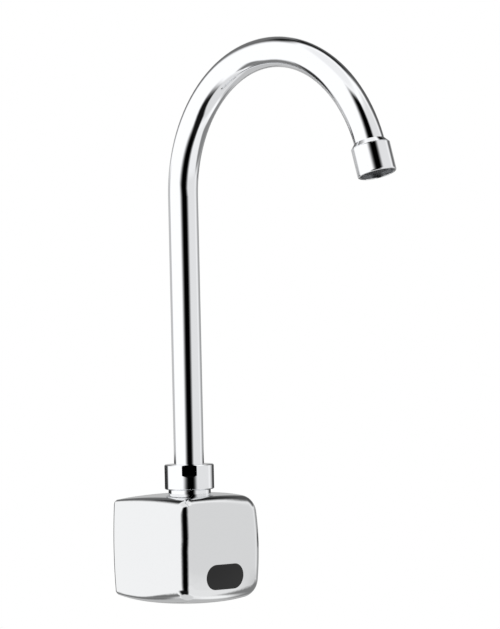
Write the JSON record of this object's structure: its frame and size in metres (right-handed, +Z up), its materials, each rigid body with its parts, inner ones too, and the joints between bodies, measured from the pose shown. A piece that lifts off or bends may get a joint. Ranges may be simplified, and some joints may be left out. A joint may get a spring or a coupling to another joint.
{
  "type": "sensor tap",
  "caption": "Wall-mounted sensor tap: chromed cube housing with an infrared window, a swivelling gooseneck spout and an aerator.",
  "frame": {"origin": "on the wall plane, at the centre of the mounting plate and of its four bolt holes", "axes": "+Z up along the stem; -Y is the front, out of the wall towards the user; +X to the right of someone facing the tap"},
  "size_m": [0.0712, 0.2257, 0.3569],
  "materials": {
    "black_plastic": "glass-filled nylon, fine moulded texture",
    "black_rubber": "moulded EPDM rubber",
    "board_green": "solder mask on glass-epoxy board",
    "cell_sleeve": "printed shrink film, plain",
    "copper_winding": "enamelled copper wire, taped",
    "grey_plastic": "moulded acetal, fine moulded texture",
    "lead_jacket": "extruded PVC jacket",
    "led_clear": "cast clear epoxy",
    "led_dark": "cast infrared-filter epoxy",
    "polished_chrome": "mirror-polished bright nickel-chrome plate",
    "screw_steel": "rolled stainless steel screws",
    "seal_foam": "closed-cell EPDM foam",
    "smoked_acrylic": "moulded infrared-pass acrylic, polished face",
    "spring_steel": "drawn stainless spring wire",
    "stainless_plate": "stamped stainless steel sheet, brushed",
    "stainless_turned": "turned stainless steel",
    "valve_brass": "turned and machined brass, uncoated",
    "white_acetal": "turned acetal",
    "yoke_steel": "zinc-plated mild steel"
  },
  "bodies": {
    "body": {"battery": "cell_sleeve", "battery_contacts": "spring_steel", "battery_tray": "black_plastic", "board_chips": "black_plastic", "bonnet_screws": "screw_steel", "case_lid": "black_plastic", "case_screws": "screw_steel", "check_valve_cage": "white_acetal", "check_valve_spring": "spring_steel", "circuit_board": "board_green", "coil_bobbin": "white_acetal", "coil_nut": "yoke_steel", "coil_winding": "copper_winding", "core_tube": "stainless_turned", "coupling_nut": "polished_chrome", "diaphragm": "black_rubber", "housing": "polished_chrome", "hub_tail_seal": "black_rubber", "hub_washer": "black_rubber", "inlet_screen": "stainless_turned", "inlet_washer": "black_rubber", "ir_emitter": "led_clear", "ir_receiver": "led_dark", "outlet_hub": "polished_chrome", "plunger_spring": "spring_steel", "rim_seal": "seal_foam", "sensor_case": "black_plastic", "sensor_window": "smoked_acrylic", "set_screws": "screw_steel", "solenoid_bonnet": "grey_plastic", "solenoid_lead": "lead_jacket", "solenoid_yoke": "yoke_steel", "tray_screw": "screw_steel", "valve_body": "valve_brass", "valve_screws": "screw_steel", "wall_plate": "stainless_plate", "window_gasket": "black_rubber"},
    "spout": {"spout_tube": "polished_chrome", "spout_collar": "valve_brass", "spout_o_rings": "black_rubber", "glide_ring": "white_acetal", "outlet_adapter": "polished_chrome", "aerator_housing": "polished_chrome", "aerator_washer": "black_rubber", "aerator_insert": "grey_plastic", "aerator_screen": "stainless_turned"},
    "plunger": {"plunger": "stainless_turned", "plunger_tip": "black_rubber"},
    "diaphragm_disc": {"diaphragm_disc": "white_acetal"},
    "check_poppet": {"check_valve_poppet": "white_acetal"}
  },
  "joints": [
    {"name": "spout_swivel", "type": "hinge", "parent": "body", "child": "spout", "pos_m": [0, -0.0364, 0.05], "axis": [0, 0, 1], "range_deg": [-90, 90]},
    {"name": "plunger_slide", "type": "slide", "parent": "body", "child": "plunger", "axis": [1, 0, 0], "range_m": [0, 0.002], "stiffness_N_per_m": 80, "springref_m": -0.005, "deforming": ["plunger_spring"]},
    {"name": "diaphragm_lift", "type": "slide", "parent": "body", "child": "diaphragm_disc", "axis": [1, 0, 0], "range_m": [0, 0.0012], "deforming": ["diaphragm"]},
    {"name": "check_valve_slide", "type": "slide", "parent": "body", "child": "check_poppet", "axis": [0, -1, 0], "range_m": [0, 0.002], "stiffness_N_per_m": 60, "springref_m": -0.003, "deforming": ["check_valve_spring"]}
  ],
  "couplings": [
    {"joint": "diaphragm_lift", "follows": "plunger_slide", "ratio": 0.6}
  ]
}
